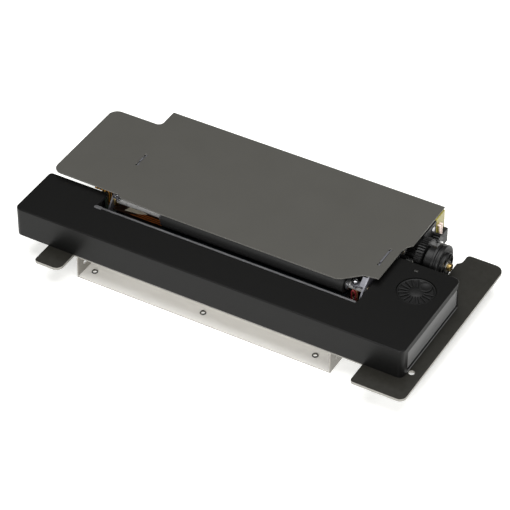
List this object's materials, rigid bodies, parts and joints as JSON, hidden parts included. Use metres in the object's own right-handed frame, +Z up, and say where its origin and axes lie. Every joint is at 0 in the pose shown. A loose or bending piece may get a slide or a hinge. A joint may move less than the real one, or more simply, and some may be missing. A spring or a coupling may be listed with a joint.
{
  "type": "bill validator",
  "caption": "Wide open-frame bill validator: black bezel with top note slot, finger dial, grey top plate, geared note rollers, bright lower channel and flange.",
  "frame": {"origin": "middle of the base, on the surface the tray and channel stand on", "axes": "+X along the bezel towards the finger dial, +Y to the rear where notes leave, +Z up"},
  "size_m": [0.3114, 0.1604, 0.0468],
  "materials": {
    "black_powder_coat": "gloss",
    "black_abs": "satin",
    "grey_panel": "satin",
    "smoked_lens": "gloss",
    "circuit_board": "satin",
    "warm_grey_paint": "satin",
    "zinc_plated_steel": "satin",
    "grey_steel": "satin",
    "tinplate": "satin",
    "black_moulding": "satin",
    "chip_black": "matt",
    "connector_ivory": "gloss",
    "brass": "satin",
    "zinc_screws": "satin",
    "yellow_tape": "gloss",
    "amber_polyimide": "gloss",
    "lead_insulation": "gloss",
    "wire_insulation": "gloss",
    "roller_rubber": "matt",
    "ground_steel": "bright",
    "black_acetal": "satin",
    "sensor_housing": "matt",
    "sensor_glass": "gloss",
    "motor_black": "satin",
    "ivory_acetal": "satin",
    "dial_black": "satin"
  },
  "bodies": {
    "root": {"mounting_flange": "black_powder_coat", "bezel": "black_abs", "bezel_end_panel": "grey_panel", "indicator_lens": "smoked_lens", "indicator_board": "circuit_board", "top_plate": "warm_grey_paint", "left_side_frame": "zinc_plated_steel", "right_side_frame": "zinc_plated_steel", "guide_strip": "grey_steel", "lower_channel": "tinplate", "base_tray": "tinplate", "floor_guide": "black_moulding", "exit_guide": "black_moulding", "upper_guide": "black_moulding", "main_board": "circuit_board", "board_chips": "chip_black", "board_connectors": "connector_ivory", "board_standoffs": "brass", "tray_screws": "zinc_screws", "cover_screws": "zinc_screws", "shaft_bushes": "brass", "gear_posts": "ground_steel", "post_clips": "zinc_screws", "motor_bracket": "motor_black", "motor_body": "motor_black", "motor_tape": "yellow_tape", "motor_connector": "black_moulding", "motor_leads": "lead_insulation", "motor_screws": "zinc_screws", "sensor_springs": "zinc_plated_steel", "flex_ribbon": "amber_polyimide", "control_board": "circuit_board", "control_connector": "connector_ivory", "control_spacers": "zinc_screws", "sensor_wires": "wire_insulation", "dial_post": "ground_steel", "pinch_pivots": "zinc_plated_steel"},
    "front_roller_unit": {"front_roller": "roller_rubber", "front_shaft": "ground_steel", "front_collars": "grey_steel", "front_clips": "zinc_screws", "front_gear": "black_acetal"},
    "dial_idler": {"dial_idler_gear": "black_acetal"},
    "front_idler": {"front_idler_gear": "black_acetal"},
    "rear_idler": {"rear_idler_gear": "black_acetal"},
    "rear_roller_unit": {"rear_rollers": "roller_rubber", "rear_shaft": "ground_steel", "reduction_gear": "black_acetal", "clutch_drum": "black_acetal", "shaft_washer": "zinc_screws", "shaft_screw": "brass", "rear_clip": "zinc_screws"},
    "motor_rotor": {"motor_pinion": "black_acetal", "motor_shaft": "ground_steel"},
    "finger_dial": {"feed_dial": "dial_black"},
    "image_sensor": {"sensor_bar": "sensor_housing", "sensor_glass": "sensor_glass"},
    "pinch_lever": {"pinch_arm": "sensor_housing", "pinch_shaft": "ground_steel"},
    "pinch_roller_pair": {"pinch_rollers": "ivory_acetal"}
  },
  "joints": [
    {"name": "front_roller_spin", "type": "hinge", "parent": "root", "child": "front_roller_unit", "pos_m": [-0.0057, -0.0114, 0.0346], "axis": [1, 0, 0], "continuous": true},
    {"name": "dial_idler_spin", "type": "hinge", "parent": "root", "child": "dial_idler", "pos_m": [-0.0057, -0.00301, 0.02828], "axis": [1, 0, 0], "continuous": true},
    {"name": "front_idler_spin", "type": "hinge", "parent": "root", "child": "front_idler", "pos_m": [-0.0057, 0.01128, 0.02953], "axis": [1, 0, 0], "continuous": true},
    {"name": "rear_idler_spin", "type": "hinge", "parent": "root", "child": "rear_idler", "pos_m": [-0.0057, 0.02861, 0.0271], "axis": [1, 0, 0], "continuous": true},
    {"name": "rear_roller_spin", "type": "hinge", "parent": "root", "child": "rear_roller_unit", "pos_m": [-0.0057, 0.04189, 0.03026], "axis": [1, 0, 0], "continuous": true},
    {"name": "motor_spin", "type": "hinge", "parent": "root", "child": "motor_rotor", "pos_m": [-0.0057, 0.06069, 0.03223], "axis": [1, 0, 0], "continuous": true},
    {"name": "dial_spin", "type": "hinge", "parent": "root", "child": "finger_dial", "pos_m": [0.1248, -0.00301, 0.0368], "axis": [0, 0, 1], "continuous": true},
    {"name": "sensor_press", "type": "slide", "parent": "root", "child": "image_sensor", "axis": [0, 0, 1], "range_m": [-0.0012, 0], "stiffness_N_per_m": 500, "springref_m": 0.004},
    {"name": "pinch_lift", "type": "hinge", "parent": "root", "child": "pinch_lever", "pos_m": [-0.0057, 0.05489, 0.01556], "axis": [1, 0, 0], "range_deg": [0, 5], "stiffness_Nm_per_rad": 0.03, "springref_deg": -14.32},
    {"name": "pinch_roller_spin", "type": "hinge", "parent": "pinch_lever", "child": "pinch_roller_pair", "pos_m": [-0.0057, 0.04189, 0.01806], "axis": [1, 0, 0], "continuous": true}
  ],
  "couplings": [
    {"joint": "dial_idler_spin", "follows": "front_roller_spin", "ratio": -0.875},
    {"joint": "front_idler_spin", "follows": "front_roller_spin", "ratio": 0.56},
    {"joint": "rear_idler_spin", "follows": "front_roller_spin", "ratio": -0.56},
    {"joint": "rear_roller_spin", "follows": "front_roller_spin", "ratio": 1},
    {"joint": "motor_spin", "follows": "front_roller_spin", "ratio": -2.8571},
    {"joint": "dial_spin", "follows": "front_roller_spin", "ratio": -0.41176},
    {"joint": "pinch_roller_spin", "follows": "front_roller_spin", "ratio": -1.38}
  ]
}
